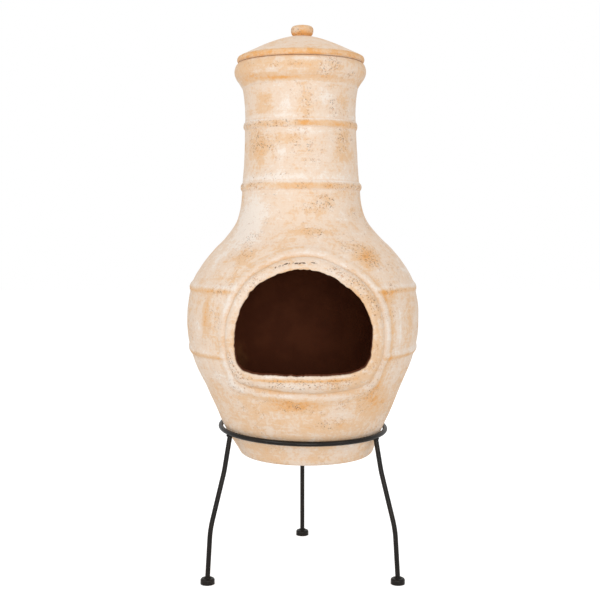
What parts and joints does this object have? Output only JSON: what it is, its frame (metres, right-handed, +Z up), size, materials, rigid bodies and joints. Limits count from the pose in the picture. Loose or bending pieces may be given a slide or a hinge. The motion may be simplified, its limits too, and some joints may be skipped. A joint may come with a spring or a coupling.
{
  "type": "clay chiminea",
  "caption": "Clay garden chiminea: round-bellied firebox with an arched mouth, banded neck and loose domed lid with a knob, hanging by its cone in a ring stand on bent bar legs.",
  "frame": {"origin": "on the floor, under the middle of the stand ring and the pot's axis", "axes": "+Z up along the pot's axis, -Y out of the mouth, +X to the right of someone who faces the mouth"},
  "size_m": [0.384, 0.3816, 0.9],
  "materials": {
    "stand_steel": "satin black paint on round bar",
    "weld_bead": "lumpy weld under the same black paint",
    "clay_body": "limewashed orange-tan earthenware, matt",
    "clay_coil": "earthenware with the wash rubbed off",
    "clay_rim": "earthenware with the wash rubbed off",
    "clay_lid": "limewashed earthenware, bare orange edge",
    "clay_knob": "bare orange earthenware"
  },
  "bodies": {
    "stand": {"stand_ring": "stand_steel", "ring_seam_weld": "weld_bead", "leg_left": "stand_steel", "leg_right": "stand_steel", "leg_rear": "stand_steel", "foot_left": "stand_steel", "foot_right": "stand_steel", "foot_rear": "stand_steel", "leg_welds": "weld_bead", "foot_welds": "weld_bead"},
    "pot": {"fire_bowl": "clay_body", "belly_wall": "clay_body", "shoulder": "clay_body", "mouth_collar": "clay_body", "mouth_fold": "clay_body", "belly_band_lower": "clay_coil", "belly_band_upper": "clay_coil", "neck_band_lower": "clay_coil", "neck_band_upper": "clay_coil", "chimney": "clay_body", "chimney_rim": "clay_rim"},
    "lid": {"lid": "clay_lid", "lid_knob": "clay_knob"}
  },
  "joints": [
    {"name": "pot_lift", "type": "slide", "parent": "stand", "child": "pot", "axis": [0, 0, 1], "range_m": [0, 0.15]},
    {"name": "lid_lift", "type": "slide", "parent": "pot", "child": "lid", "axis": [0, 0, 1], "range_m": [0, 0.12]}
  ]
}
